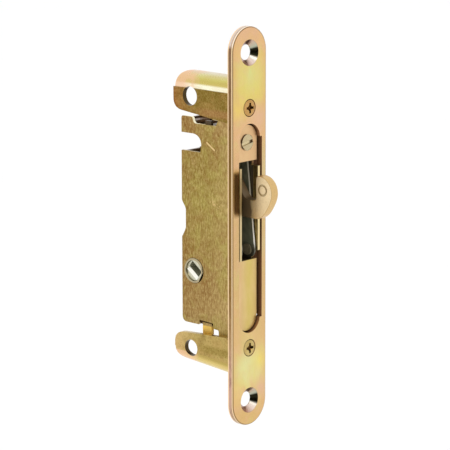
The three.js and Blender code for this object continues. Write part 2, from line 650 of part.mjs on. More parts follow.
// A leaf spring rises from the rear post and rests under the hub lever's rim as a detent.
function detentSpring() {
  const rimZ = HUB.z - HUB.rim;
  const blade = new THREE.Shape();
  blade.moveTo(22.6, -31.6);
  blade.lineTo(22.9, -31.6);
  blade.lineTo(22.9, rimZ - 1.6);
  blade.quadraticCurveTo(22.9, rimZ - 0.3, 21, rimZ - 0.25);
  blade.lineTo(17.5, rimZ - 0.25);
  blade.lineTo(17.5, rimZ - 0.6);
  blade.lineTo(21, rimZ - 0.6);
  blade.quadraticCurveTo(22.6, rimZ - 0.6, 22.6, rimZ - 1.8);
  add('hub_detent_spring', sheet('x', blade, -1.3, 1.3, 0, 6), STEEL);
}

// ---- assembly -----------------------------------------------------------------------------------

adapterPlate();
faceScrew('upper_face_screw', 1);
faceScrew('lower_face_screw', -1);
bracket('upper_bracket', 1, UPPER_LUG);
bracket('lower_bracket', -1, LOWER_LUG);
leftShell();
rightShell();
addCasePosts();
cheek('left_cheek', -1);
cheek('right_cheek', 1);
carriagePivot('left_carriage_pivot', -1);
carriagePivot('right_carriage_pivot', 1);
carriageSpacer();
adjusterNut();
adjustingScrew();
hook();
driveBars();
hub();
detentSpring();

export default group;
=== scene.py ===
"""Looks for the sliding-door hook lock: camera, soft studio light and plated-metal materials."""
import math

import bpy
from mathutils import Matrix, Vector


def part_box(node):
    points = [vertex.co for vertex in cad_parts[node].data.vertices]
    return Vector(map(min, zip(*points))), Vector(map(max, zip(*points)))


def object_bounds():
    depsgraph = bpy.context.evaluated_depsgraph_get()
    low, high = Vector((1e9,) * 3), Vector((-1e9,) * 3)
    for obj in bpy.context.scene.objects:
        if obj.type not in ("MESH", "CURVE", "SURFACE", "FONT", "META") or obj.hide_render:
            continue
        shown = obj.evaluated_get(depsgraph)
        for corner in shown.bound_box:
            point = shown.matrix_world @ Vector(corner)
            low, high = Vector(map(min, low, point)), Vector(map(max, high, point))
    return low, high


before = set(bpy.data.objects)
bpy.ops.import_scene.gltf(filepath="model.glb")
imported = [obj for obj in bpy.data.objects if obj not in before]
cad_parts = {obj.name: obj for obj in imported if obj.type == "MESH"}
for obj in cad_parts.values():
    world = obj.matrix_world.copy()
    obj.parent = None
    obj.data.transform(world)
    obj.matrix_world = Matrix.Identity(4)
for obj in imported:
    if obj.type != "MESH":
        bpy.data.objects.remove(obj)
cad_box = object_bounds()
scene = bpy.context.scene
MM = 0.001


# ---- places on the lock, in millimetres, from the frame ---------------------------------------

def corners(node):
    """The low and high corners of a piece's box."""
    return [[value / MM for value in corner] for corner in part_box(node)]


def centre(node):
    low, high = corners(node)
    return [(a + b) / 2 for a, b in zip(low, high)]


PLATE_LOW, PLATE_HIGH = corners("adapter_plate")
PLATE_FRONT = PLATE_LOW[1]
HALF_WIDTH = PLATE_HIGH[0]
ARCH_Z = PLATE_HIGH[2] - HALF_WIDTH      # centre of the plate's round ends, up or down
CASE_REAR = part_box("left_case_shell")[1][1]
HUB_YZ = centre("hub")[1:]
HUB_RADIUS = corners("hub")[1][1] - HUB_YZ[0]
SCREW_Z = centre("upper_face_screw")[2]
SCREW_FRONT = corners("upper_face_screw")[0][1]
ADJUSTER_Z = centre("adjusting_screw")[2]
ADJUSTER_FRONT = corners("adjusting_screw")[0][1]

SINK_Z, SINK_RADIUS = 59.5, 4.4          # the plate's two countersunk holes
SLOT_SIDE, SLOT_END = 6.3, 35.9          # how far the plate's slot reaches sideways, up and down
WALL_OUT, WALL_IN = 5.0, 4.0             # the two faces of a case wall, from the middle
RING_YZ = (-9.5, 14.4)                   # the ring groove on the hook
EAR_HOLE_Y = 17.6


# ---- camera -----------------------------------------------------------------------------------

AZIMUTH, ELEVATION = -48.0, 12.0     # degrees: from the left, a little above
DISTANCE = 0.721                     # metres from the middle of the plate's back
LENS = 171.7                         # millimetres on the 36 mm sensor
SHIFT = (-0.0437, 0.0075)            # the lock stands right of the middle of the frame


def place_camera():
    a, e = math.radians(AZIMUTH), math.radians(ELEVATION)
    back = Vector((math.sin(a) * math.cos(e), -math.cos(a) * math.cos(e), math.sin(e)))
    data = bpy.data.cameras.new("camera")
    data.lens = LENS
    data.sensor_width = 36
    data.shift_x, data.shift_y = SHIFT
    data.clip_start = 0.05
    camera = bpy.data.objects.new("camera", data)
    camera.location = back * DISTANCE
    camera.rotation_euler = back.to_track_quat("Z", "Y").to_euler()
    scene.collection.objects.link(camera)
    scene.camera = camera


# ---- small helpers for node materials ---------------------------------------------------------

def linear(r, g, b):
    """A colour given as eight-bit display values, as linear light."""
    def channel(v):
        v /= 255
        return v / 12.92 if v <= 0.04045 else ((v + 0.055) / 1.055) ** 2.4
    return (channel(r), channel(g), channel(b), 1)


def height_stops(stops):
    """Ramp stops from (height above the middle in mm, display colour), lowest first."""
    length = cad_box[1][2] - cad_box[0][2]
    return [(z * MM / length + 0.5, color) for z, color in stops]


class Nodes:
    """A material under construction: each method adds nodes and returns an output socket."""

    def __init__(self, name):
        self.material = bpy.data.materials.new(name)
        self.material.use_nodes = True
        self.tree = self.material.node_tree
        self.shader = self.tree.nodes["Principled BSDF"]
        self.position = self.add("ShaderNodeTexCoord").outputs["Object"]

    def add(self, kind, inputs=(), **settings):
        node = self.tree.nodes.new(kind)
        for key, value in settings.items():
            setattr(node, key, value)
        for key, value in dict(inputs).items():
            self.connect(value, node.inputs[key])
        return node

    def connect(self, value, socket):
        if isinstance(value, bpy.types.NodeSocket):
            self.tree.links.new(value, socket)
        else:
            socket.default_value = value

    # textures

    def stretched(self, x, y, z):
        """Positions scaled along each axis, so that a texture runs with the grain."""
        node = self.add("ShaderNodeMapping", {"Vector": self.position, "Scale": (x, y, z)})
        return node.outputs["Vector"]

    def noise(self, per_mm, detail=3, rough=0.55, vector=None, distortion=0):
        node = self.add("ShaderNodeTexNoise", {
            "Vector": vector or self.position, "Scale": per_mm / MM, "Detail": detail,
            "Roughness": rough, "Distortion": distortion})
        return node.outputs["Fac"]

    # numbers

    def math(self, operation, a, b=0.5):
        return self.add("ShaderNodeMath", {0: a, 1: b}, operation=operation).outputs[0]

    def both(self, a, b):
        """The product: a mask where both masks hold, or one mask weakened by a factor."""
        return self.math("MULTIPLY", a, b)

    def absolute(self, value):
        return self.math("ABSOLUTE", value)

    def length(self, a, b):
        return self.math("SQRT", self.math("ADD", self.both(a, a), self.both(b, b)))

    def spread(self, value, low, high, to_low=0.0, to_high=1.0):
        """The stretch from low to high laid out over another one, and held at its ends."""
        node = self.add("ShaderNodeMapRange", {
            "Value": value, "From Min": low, "From Max": high, "To Min": to_low, "To Max": to_high})
        return node.outputs["Result"]

    def above(self, value, at_mm, soft_mm=0.03):
        """0 below a place and 1 above it, with a soft edge."""
        return self.spread(value, (at_mm - soft_mm) * MM, (at_mm + soft_mm) * MM)

    def below(self, value, at_mm, soft_mm=0.03):
        """1 below a place and 0 above it, with a soft edge."""
        return self.spread(value, (at_mm + soft_mm) * MM, (at_mm - soft_mm) * MM)

    # where a point is, and which way the surface faces

    def part(self, axis):
        return self.add("ShaderNodeSeparateXYZ", {"Vector": self.position}).outputs[axis]

    def along(self, axis, low, high):
        """0 to 1 along one axis of the object, between two places in metres."""
        return self.spread(self.part(axis), low, high)

    def near_axis(self, plane, middle, inner, outer):
        """1 within the inner distance in mm of a line through the plane, 0 past the outer one."""
        first = self.math("SUBTRACT", self.part(plane[0]), middle[0] * MM)
        second = self.math("SUBTRACT", self.part(plane[1]), middle[1] * MM)
        return self.spread(self.length(first, second), inner * MM, outer * MM, 1.0, 0.0)

    def normal(self, axis):
        """The surface normal's part along one axis of the object, from -1 to 1."""
        normal = self.add("ShaderNodeTexCoord").outputs["Normal"]
        return self.add("ShaderNodeSeparateXYZ", {"Vector": normal}).outputs[axis]

    def facing(self, axis):
        """How far the surface faces along an axis of the object, from 0 to 1, either way."""
        return self.absolute(self.normal(axis))

    # colours

    def ramp(self, value, stops):
        """Colours at places from 0 to 1. Each stop is (place, display colour)."""
        node = self.add("ShaderNodeValToRGB", {"Fac": value})
        elements = node.color_ramp.elements
        while len(elements) < len(stops):
            elements.new(0.5)
        for element, (place, color) in zip(elements, stops):
            element.position = place
        for element, (place, color) in zip(elements, stops):
            element.color = linear(*color)
        return node.outputs["Color"]

    def mix(self, fac, a, b):
        node = self.add("ShaderNodeMix", data_type="RGBA")
        self.connect(fac, node.inputs["Factor"])
        self.connect(a, node.inputs[6])
        self.connect(b, node.inputs[7])
        return node.outputs[2]

    def shades(self, fac, a, b):
        """Between two display colours."""
        return self.mix(fac, linear(*a), linear(*b))

    def tint(self, color, mask, tone):
        """A display colour laid over another colour where a mask holds."""
        return self.mix(mask, color, linear(*tone))

    def mottle(self, color, texture, low, high, amount, tone):
        """Tinted by up to the given amount as a texture runs from low to high."""
        return self.tint(color, self.spread(texture, low, high, 0.0, amount), tone)

    # the surface

    def bump(self, height, depth_mm, below=None):
        node = self.add("ShaderNodeBump", {"Height": height, "Distance": depth_mm * MM, "Strength": 1.0})
        if below:
            self.connect(below, node.inputs["Normal"])
        return node.outputs["Normal"]

    def finish(self, color, roughness, normal=None, metallic=1.0):
        self.connect(color, self.shader.inputs["Base Color"])
        self.connect(roughness, self.shader.inputs["Roughness"])
        self.connect(metallic, self.shader.inputs["Metallic"])
        if normal:
            self.connect(normal, self.shader.inputs["Normal"])
        return self.material


# ---- faceplate --------------------------------------------------------------------------------

FACE_TONES = [
    (-67, (218, 180, 118)), (-60, (222, 184, 128)), (-54, (226, 206, 130)), (-47, (224, 210, 136)),
    (-39, (222, 188, 128)), (-25, (212, 180, 122)), (0, (208, 176, 122)), (26, (218, 178, 130)),
    (33, (228, 184, 138)), (40, (226, 188, 124)), (48, (226, 208, 116)), (55, (228, 200, 118)),
    (61, (230, 188, 132)), (67, (226, 182, 138))]
# Colours up the plate's cut edge: partly its own browner plating, partly painted reflection.
EDGE_TONES = [
    (-67, (176, 148, 112)), (-60, (200, 162, 142)), (-52, (202, 160, 144)), (-38, (180, 146, 106)),
    (-23, (148, 114, 64)), (-8, (136, 104, 56)), (11, (134, 103, 52)), (30, (130, 98, 56)),
    (42, (132, 98, 62)), (52, (144, 114, 82)), (60, (138, 106, 78)), (66, (136, 102, 74))]
# Iridescent patches in the plating of the face: (across, up), reach in mm, display colour.
FACE_CLOUDS = [
    ((0.5, 53), 8, (218, 220, 142)), ((4, 38), 6, (228, 184, 160)), ((-5, 41), 5, (236, 206, 112)),
    ((7, 22), 9, (214, 196, 142)), ((7, -6), 9, (214, 190, 138)), ((-0.5, -48), 7.5, (226, 232, 170)),
    ((5.5, -56), 5, (226, 178, 154)), ((-6.5, -57), 5, (238, 208, 130)), ((5, -46), 5, (240, 216, 112))]
# Painted reflection and iridescent plating round a countersink, from its left side by way of its bottom,
# its right side and its top.
SINK_TONES = [
    (0.0, (150, 110, 80)), (0.2, (176, 128, 104)), (0.33, (226, 204, 190)), (0.41, (214, 206, 192)),
    (0.44, (40, 42, 26)), (0.55, (28, 30, 20)), (0.58, (178, 182, 160)), (0.7, (206, 170, 150)),
    (0.76, (128, 60, 40)), (0.9, (110, 84, 60)), (1.0, (150, 110, 80))]
# Depths of the painted highlight lines and the painted dark line that run round the plate's edge.
BACK_LINE, BRIGHT_LINE, DARK_LINE = -0.4, -1.62, -1.98
DULL = 0.35                              # how metallic a surface is where little light reaches it


def painted_hook_reflection(m):
    """The painted reflection of the hook on the plate's face beside it, where it swings past."""
    across = m.both(m.above(m.part("X"), -7.7, 0.5), m.below(m.part("X"), -5.0, 0.1))
    up = m.both(m.above(m.part("Z"), 5.6, 1.1), m.below(m.part("Z"), 19.9, 0.7))
    strength = m.both(m.both(across, up), 0.85)
    return m.both(strength, m.spread(m.normal("Y"), -0.3, -0.6))


def faceplate_face(m, height, swirl):
    """Straw, pink and yellow-green bands up the face, with iridescent patches in them and the hook's
    painted reflection beside the window.
    """
    place = m.math("ADD", height, m.spread(swirl, 0.3, 0.7, -0.035, 0.035))
    color = m.ramp(place, height_stops(FACE_TONES))
    margin = m.spread(m.absolute(m.part("X")), 4.5 * MM, 8 * MM)
    color = m.tint(color, m.both(margin, 0.55), (222, 178, 124))
    cloud = m.noise(0.3, detail=4, rough=0.6, distortion=0.4)
    color = m.mottle(color, cloud, 0.48, 0.72, 0.3, (232, 184, 158))
    color = m.mottle(color, m.noise(0.21), 0.52, 0.74, 0.35, (214, 206, 128))
    for middle, reach, tone in FACE_CLOUDS:
        patch = m.near_axis("XZ", middle, 0, reach)
        color = m.tint(color, m.both(patch, m.spread(swirl, 0.35, 0.6, 0.3, 0.9)), tone)
    # The hook's painted reflection, dark brown beside the window.
    return m.tint(color, painted_hook_reflection(m), (84, 60, 30))


def faceplate_edge(m, height, swirl):
    """The cut edge: brown and worn, pinkish low down, its brown partly painted reflection, with a
    painted glint round the top and painted highlight and dark lines.
    """
    depth = m.part("Y")
    place = m.math("ADD", height, m.spread(swirl, 0.3, 0.7, -0.015, 0.015))
    color = m.ramp(place, height_stops(EDGE_TONES))
    worn = m.noise(0.9, detail=4, rough=0.65, vector=m.stretched(1.5, 1.5, 0.5))
    color = m.mottle(color, worn, 0.5, 0.68, 0.6, (98, 64, 36))
    # A painted glint on the edge round the top arch.
    top = m.above(m.part("Z"), ARCH_Z + 2.05, 0.6)
    glint = m.shades(m.above(depth, PLATE_FRONT / 2 + 0.05, 0.15), (204, 178, 152), (218, 200, 190))
    color = m.mix(top, color, glint)
    # A painted highlight along the back edge.
    color = m.tint(color, m.above(depth, BACK_LINE), (250, 216, 172))
    # A painted highlight line further forward, brighter round the top.
    bright = m.shades(top, (236, 208, 166), (255, 238, 218))
    color = m.mix(m.above(depth, BRIGHT_LINE), bright, color)
    # A painted dark line on the front chamfer.
    return m.mix(m.above(depth, DARK_LINE), linear(146, 114, 74), color)


def outward(m):
    """Distance from the middle line of the plate's round-ended outline."""
    past = m.math("SUBTRACT", m.absolute(m.part("Z")), ARCH_Z * MM)
    return m.length(m.math("MAXIMUM", past, 0.0), m.part("X"))


def countersinks(m, color):
    """Countersunk cones in painted reflection and iridescent plating: dark on the far side, pale and
    reddish above and below it.
    """
    up = m.math("SUBTRACT", m.absolute(m.part("Z")), SINK_Z * MM)
    turned = m.both(up, m.math("SIGN", m.part("Z")))
    across = m.part("X")
    angle = m.math("ARCTAN2", turned, across)
    tone = m.ramp(m.spread(angle, -math.pi, math.pi), SINK_TONES)
    ring = m.below(m.length(up, across), SINK_RADIUS - 0.025, 0.075)
    return m.mix(m.both(ring, m.spread(m.facing("Y"), 0.97, 0.9)), color, tone)


def faceplate_material():
    """Bright yellow zinc, with browner cut edges and painted shade on the sides of its slot, darker
    towards the back.
    """
    m = Nodes("faceplate_plating")
    height = m.along("Z", cad_box[0][2], cad_box[1][2])
    swirl = m.noise(0.13, rough=0.6, vector=m.stretched(1, 1, 0.6), distortion=0.8)
    depth, turn = m.part("Y"), m.facing("Y")
    # Painted shade on the sides of the slot, darker towards the back.
    wall_shade = m.shades(m.above(depth, -1.2, 0.9), (142, 100, 70), (98, 68, 42))
    color = m.mix(m.spread(turn, 0.93, 0.985), wall_shade, faceplate_face(m, height, swirl))
    color = countersinks(m, color)
    border = m.both(m.above(outward(m), HALF_WIDTH - 0.7), m.above(depth, PLATE_FRONT + 0.04))
    border = m.both(border, m.spread(m.normal("Y"), 0.8, 0.6))
    color = m.mix(border, color, faceplate_edge(m, height, swirl))
    rolled = m.noise(1.2, vector=m.stretched(3, 3, 0.12))
    fine = m.noise(5, rough=0.7)
    color = m.mottle(color, fine, 0.55, 0.8, 0.25, (176, 134, 80))
    roughness = m.spread(m.math("ADD", rolled, fine), 0.6, 1.4, 0.18, 0.32)
    normal = m.bump(m.noise(0.5, detail=2, vector=m.stretched(1.6, 1.6, 0.4)), 0.015)
    slot = m.both(m.below(m.absolute(m.part("X")), SLOT_SIDE + 0.025, 0.025),
                  m.below(m.absolute(m.part("Z")), SLOT_END + 0.05, 0.05))
    slot = m.both(slot, m.spread(turn, 0.6, 0.4))
    return m.finish(color, roughness, m.bump(rolled, 0.004, normal), m.spread(slot, 0, 1, 1.0, DULL))


# ---- case -------------------------------------------------------------------------------------

CASE_TONES = [
    (-37, (170, 142, 92)), (-30, (166, 134, 80)), (-20, (156, 122, 70)), (-8, (160, 132, 72)),
    (4, (162, 142, 72)), (16, (156, 134, 66)), (26, (152, 122, 62)), (36, (164, 128, 76))]


def scuffs(m):
    """Two worn spots on the left wall, broken up into short scratches."""
    scratch = m.noise(1.5, rough=0.6, vector=m.stretched(1, 1.5, 0.6), distortion=1.2)
    low, high = m.near_axis("YZ", (8.4, 8), 1, 4.5), m.near_axis("YZ", (18.3, 20.6), 0.4, 1.6)
    spots = m.both(m.math("MAXIMUM", low, high), m.below(m.part("X"), -0.5, 0.5))
    return m.both(spots, m.spread(scratch, 0.56, 0.62))


def case_flats(m, blotch, streak, grain):
    """Olive brass, blotched, streaked and grainy, lighter at the front and browner at the rear, with a
    painted highlight on its bends and the faces turned from its sides.
    """
    height = m.along("Z", cad_box[0][2], cad_box[1][2])
    depth = m.along("Y", 0.0, CASE_REAR)
    color = m.ramp(height, height_stops(CASE_TONES))
    color = m.tint(color, m.spread(depth, 0.0, 0.5, 0.75, 0.0), (196, 168, 108))
    color = m.mottle(color, depth, 0.7, 1.0, 0.5, (140, 100, 48))
    color = m.mottle(color, blotch, 0.47, 0.6, 0.55, (174, 160, 80))
    stain = m.noise(0.17, detail=5, rough=0.62, distortion=0.9)
    color = m.mottle(color, stain, 0.5, 0.64, 0.5, (144, 102, 48))
    color = m.mottle(color, streak, 0.5, 0.7, 0.55, (212, 190, 124))
    color = m.mottle(color, streak, 0.5, 0.3, 0.55, (112, 80, 36))
    color = m.mottle(color, grain, 0.5, 0.68, 0.42, (220, 200, 138))
    color = m.mottle(color, grain, 0.5, 0.32, 0.42, (112, 78, 34))
    color = m.tint(color, scuffs(m), (240, 206, 146))
    # A painted highlight on the bends and on the faces turned away from the sides.
    return m.mottle(color, m.facing("X"), 0.9, 0.4, 0.4, (196, 178, 130))


def lock_face(m):
    """The case's front, nearly as bright as the plate, and the lips beside its window."""
    color = m.ramp(m.along("X", -WALL_OUT * MM, WALL_OUT * MM), [
        (0.0, (222, 182, 138)), (0.3, (216, 186, 126)), (0.6, (214, 190, 108)), (1.0, (220, 188, 122))])
    color = m.tint(color, m.above(m.part("Z"), 0), (224, 184, 136))
    soft = m.noise(0.35, detail=4, rough=0.6, vector=m.stretched(1, 1, 0.4))
    color = m.mottle(color, soft, 0.42, 0.7, 0.4, (232, 202, 150))
    lips = m.shades(m.above(m.part("X"), 0), (210, 191, 144), (238, 216, 162))
    return m.mix(m.above(m.part("Y"), -1.6), lips, color)


def bright_spots(m, color, blotch):
    """The tongue under the case and the rib made lighter, and a painted highlight on the cut edge of its
    upper opening.
    """
    x, y, z = m.part("X"), m.part("Y"), m.part("Z")
    tongue = m.both(m.both(m.above(y, 10.7), m.below(y, 15.05, 0.05)), m.below(z, -35.15, 0.15))
    color = m.mix(tongue, color, m.shades(m.spread(blotch, 0.4, 0.6), (242, 200, 96), (226, 190, 104)))
    # A painted highlight on the cut edge of the upper opening, whitest towards the rear.
    cut = m.both(m.below(x, 0.075 - WALL_IN, 0.025), m.above(z, 34.2))
    cut = m.both(cut, m.spread(m.facing("X"), 0.8, 0.5))
    color = m.mix(cut, color, m.shades(m.above(y, 16.4), (214, 192, 140), (255, 250, 220)))
    return m.tint(color, m.below(x, -WALL_OUT - 0.08, 0.04), (226, 196, 138))


def case_material():
    """Duller plating on the case, a bright front, and painted shade inside it and on the flanges behind
    the plate.
    """
    m = Nodes("case_plating")
    aside, depth = m.absolute(m.part("X")), m.part("Y")
    blotch = m.noise(0.11, detail=4, rough=0.6, distortion=0.5)
    streak = m.noise(2.2, rough=0.65, vector=m.stretched(1, 1, 0.24))
    grain = m.noise(1.5, detail=5, rough=0.75, vector=m.stretched(1, 1, 0.7))
    color = case_flats(m, blotch, streak, grain)
    front = m.both(m.spread(m.normal("Y"), -0.9, -0.97), m.below(depth, 0.45, 0.05))
    color = m.mix(front, color, lock_face(m))
    inside = m.both(m.below(aside, WALL_IN + 0.02, 0.02), m.above(depth, -0.35, 0.15))
    inside = m.both(inside, m.spread(m.normal("Y"), 0.8, 0.5))
    # Painted shade on the case's inner walls, browner towards the rear.
    inside_shade = m.shades(m.above(depth, 14, 3), (68, 60, 42), (108, 76, 42))
    inside_shade = m.mottle(inside_shade, m.noise(0.25, detail=4), 0.4, 0.65, 0.5, (92, 76, 50))
    color = m.mix(inside, color, inside_shade)
    # Painted shade on the flanges behind the plate.
    behind = m.both(m.above(aside, WALL_OUT + 0.04), m.below(depth, 1.4, 0.1))
    behind = m.both(behind, m.spread(m.normal("Y"), 0.5, 0.2))
    color = m.tint(color, behind, (92, 60, 38))
    color = bright_spots(m, color, blotch)
    shade = m.math("MAXIMUM", inside, behind)
    roughness = m.spread(m.math("ADD", grain, blotch), 0.7, 1.3, 0.3, 0.5)
    normal = m.bump(m.noise(0.22, detail=2), 0.05)
    return m.finish(color, roughness, m.bump(streak, 0.012, normal), m.spread(shade, 0, 1, 1.0, DULL))


# ---- bolt ears --------------------------------------------------------------------------------

# Each ear's flat and rear colours, the painted highlight and reflection bands round its rolled edge from
# the crease outwards, the height of its hole, how far up or down its crease lies, and the soft stripe
# along its flat, which on the lower ear is a painted shadow band.
EARS = {
    "upper_bracket": {
        "flat": (132, 108, 44), "rear": (152, 96, 46),
        "roll": [(0.04, (255, 250, 220)), (0.25, (255, 252, 222)), (0.37, (206, 188, 108)),
                 (0.52, (200, 186, 100)), (0.66, (208, 198, 112)), (0.84, (216, 208, 146)),
                 (1.0, (226, 216, 196))],
        "hole": 44, "crease": 46.3, "stripe": 39, "stripe_tone": (168, 124, 76)},
    "lower_bracket": {
        "flat": (186, 162, 96), "rear": (216, 184, 124),
        "roll": [(0.04, (184, 160, 88)), (0.2, (184, 162, 88)), (0.4, (216, 192, 112)),
                 (0.75, (226, 204, 124)), (1.0, (206, 184, 108))],
        "hole": -43.15, "crease": 44.6, "stripe": -42.4, "stripe_tone": (150, 128, 60)},
}


def ear_flat(m, ear, depth, cloud, speck):
    """The grainy flat, browner at the rear, with a soft stripe along it, which on the lower ear is a
    painted shadow band.
    """
    color = m.mix(m.spread(depth, 0.6, 1.0, 0.0, 0.9), linear(*ear["flat"]), linear(*ear["rear"]))
    color = m.mottle(color, cloud, 0.45, 0.68, 0.4, (196, 152, 92))
    color = m.mottle(color, m.noise(0.32, detail=4), 0.5, 0.7, 0.5, (128, 100, 42))
    # The soft stripe: on the lower ear a painted shadow band.
    off = m.absolute(m.math("SUBTRACT", m.part("Z"), ear["stripe"] * MM))
    stripe = m.both(m.below(off, 1.3, 0.6), m.below(m.part("Y"), 13.5, 3.5))
    color = m.tint(color, m.both(stripe, 0.75), ear["stripe_tone"])
    color = m.mottle(color, speck, 0.5, 0.68, 0.36, (212, 186, 120))
    return m.mottle(color, speck, 0.5, 0.34, 0.4, (112, 78, 32))


def ear_roll(m, ear, cloud):
    """The rolled edge, in painted highlight and reflection bands by its angle, and pinker towards its
    rear end.
    """
    # Painted highlight and reflection bands by how far the roll turns up or down.
    color = m.ramp(m.facing("Z"), ear["roll"])
    along = m.noise(0.5, detail=4, vector=m.stretched(1, 0.3, 1))
    color = m.mottle(color, along, 0.4, 0.7, 0.25, (200, 160, 110))
    drift = m.math("ADD", m.part("Y"), m.spread(cloud, 0.3, 0.7, -3 * MM, 3 * MM))
    return m.mottle(color, drift, 14 * MM, 20 * MM, 0.75, (240, 192, 156))


def bracket_material(node):
    """Plating on a bolt ear, with painted shade in its hole."""
    m = Nodes(node + "_plating")
    ear = EARS[node]
    low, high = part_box(node)
    cloud = m.noise(0.2, detail=4, rough=0.6, distortion=0.5)
    speck = m.noise(1.6, detail=5, rough=0.8)
    color = ear_flat(m, ear, m.along("Y", low[1], high[1]), cloud, speck)
    rounded = m.both(m.spread(m.facing("Z"), 0.02, 0.07), m.spread(m.facing("Y"), 0.5, 0.3))
    past = m.above(m.absolute(m.part("Z")), ear["crease"] + 0.1, 0.1)
    color = m.mix(m.both(rounded, past), color, ear_roll(m, ear, cloud))
    # Painted shade on the wall of the hole.
    bore = m.near_axis("YZ", (EAR_HOLE_Y, ear["hole"]), 3.35, 3.5)
    color = m.tint(color, m.both(bore, m.spread(m.facing("X"), 0.75, 0.35)), (76, 62, 36))
    roughness = m.spread(m.math("ADD", cloud, speck), 0.7, 1.3, 0.2, 0.36)
    normal = m.bump(m.noise(0.3, detail=2), 0.04)
    return m.finish(color, roughness, m.bump(speck, 0.008, normal))


# ---- hook, hub, works and screws --------------------------------------------------------------

def hook_material():
    """Satin champagne plating, tumbled, with an orange cast on its rim, a painted dark line on its
    rounded edges and painted shade on the part inside the case.
    """
    m = Nodes("hook_plating")
    turn = m.facing("X")
    base = m.shades(m.above(m.part("Z"), 10, 5), (232, 204, 154), (244, 220, 176))
    base = m.tint(base, m.spread(m.noise(0.18), 0.35, 0.7), (236, 210, 164))
    # A painted dark line on the rounded edges of the faces.
    base = m.tint(base, m.spread(turn, 0.985, 0.9), (156, 122, 74))
    color = m.tint(base, m.spread(turn, 0.6, 0.4), (216, 182, 124))
    tumble = m.noise(2.6, detail=4, rough=0.65)
    color = m.mottle(color, tumble, 0.5, 0.75, 0.4, (176, 148, 98))
    within = m.near_axis("YZ", RING_YZ, 1.2, 1.45)
    groove = m.both(m.near_axis("YZ", RING_YZ, 1.95, 2.15), m.math("SUBTRACT", 1.0, within))
    color = m.tint(color, m.both(groove, 0.55), (140, 118, 72))
    # Painted shade on the part of the hook inside the case, its edge wandering a little.
    wander = m.spread(m.noise(0.3), 0.3, 0.7, -0.5 * MM, 0.5 * MM)
    hook_shade = m.above(m.math("ADD", m.part("Y"), wander), -5.0, 0.9)
    color = m.tint(color, hook_shade, (98, 80, 54))
    roughness = m.spread(tumble, 0.3, 0.7, 0.28, 0.44)
    normal = m.bump(m.noise(0.45), 0.02)
    return m.finish(color, roughness, m.bump(tumble, 0.008, normal), m.spread(hook_shade, 0, 1, 1.0, 0.5))


def hub_material():
    """Bright zinc with a grainy face, a browner bush round it, a painted highlight on the slopes and
    keyway walls at its ends, and painted shade on its middle inside the case and deep in its keyway.
    """
    m = Nodes("hub_zinc")
    cast = m.noise(0.35)
    color = m.shades(m.spread(cast, 0.35, 0.65), (196, 194, 172), (218, 214, 192))
    grain = m.noise(3.0, detail=4, rough=0.7)
    color = m.mottle(color, grain, 0.5, 0.75, 0.5, (140, 136, 112))
    color = m.mix(m.near_axis("YZ", HUB_YZ, HUB_RADIUS, HUB_RADIUS + 0.2), linear(180, 166, 132), color)
    # A painted highlight on the slopes and keyway walls at the ends.
    slope = m.near_axis("YZ", HUB_YZ, HUB_RADIUS - 0.25, HUB_RADIUS - 0.1)
    slope = m.both(slope, m.spread(m.facing("X"), 0.93, 0.8))
    color = m.tint(color, m.both(slope, 0.85), (250, 248, 238))
    # Painted shade on the middle of the hub, inside the case and deep in its keyway.
    deep = m.below(m.absolute(m.part("X")), 3.775, 0.075)
    color = m.tint(color, deep, (140, 138, 114))
    roughness = m.spread(grain, 0.3, 0.7, 0.2, 0.36)
    normal = m.bump(grain, 0.01, m.bump(cast, 0.04))
    return m.finish(color, roughness, normal, m.spread(deep, 0, 1, 1.0, 0.15))


def scratched(m):
    """A texture of fine scratches that run up and down."""
    return m.noise(2.5, vector=m.stretched(1, 1, 0.1))


def inner_material():
    """Oiled dark steel of the works inside the case."""
    m = Nodes("oiled_steel")
    cloud = m.noise(0.3, detail=4, rough=0.6)
    color = m.shades(m.spread(cloud, 0.35, 0.7), (102, 94, 70), (142, 130, 102))
    color = m.mottle(color, m.noise(1.6), 0.5, 0.75, 0.5, (66, 56, 40))
    scratch = scratched(m)
    return m.finish(color, m.spread(scratch, 0.3, 0.7, 0.28, 0.46), m.bump(scratch, 0.006), DULL)


def cheek_material():
    """The cheeks: dark flats, darker at the bottom, with a bright sheared front edge, polished and
    carrying a painted highlight, brighter lower down.
    """
    m = Nodes("cheek_steel")
    flat = m.shades(m.spread(m.noise(0.3, detail=4), 0.35, 0.7), (104, 106, 84), (130, 128, 102))
    # Darker at the bottom.
    flat = m.mix(m.above(m.part("Z"), -6.5, 1.5), linear(64, 60, 46), flat)
    # The sheared front edge: dark at the bottom, then a painted highlight that fades upwards.
    shear = m.ramp(m.along("Z", -12 * MM, 24 * MM), [
        (0.0, (70, 68, 54)), (0.13, (84, 82, 66)), (0.2, (244, 242, 232)), (0.45, (212, 208, 192)),
        (1.0, (166, 160, 136))])
    color = m.mix(m.spread(m.facing("Y"), 0.5, 0.8), flat, shear)
    scratch = scratched(m)
    return m.finish(color, m.spread(scratch, 0.3, 0.7, 0.25, 0.42), m.bump(scratch, 0.006), 0.3)


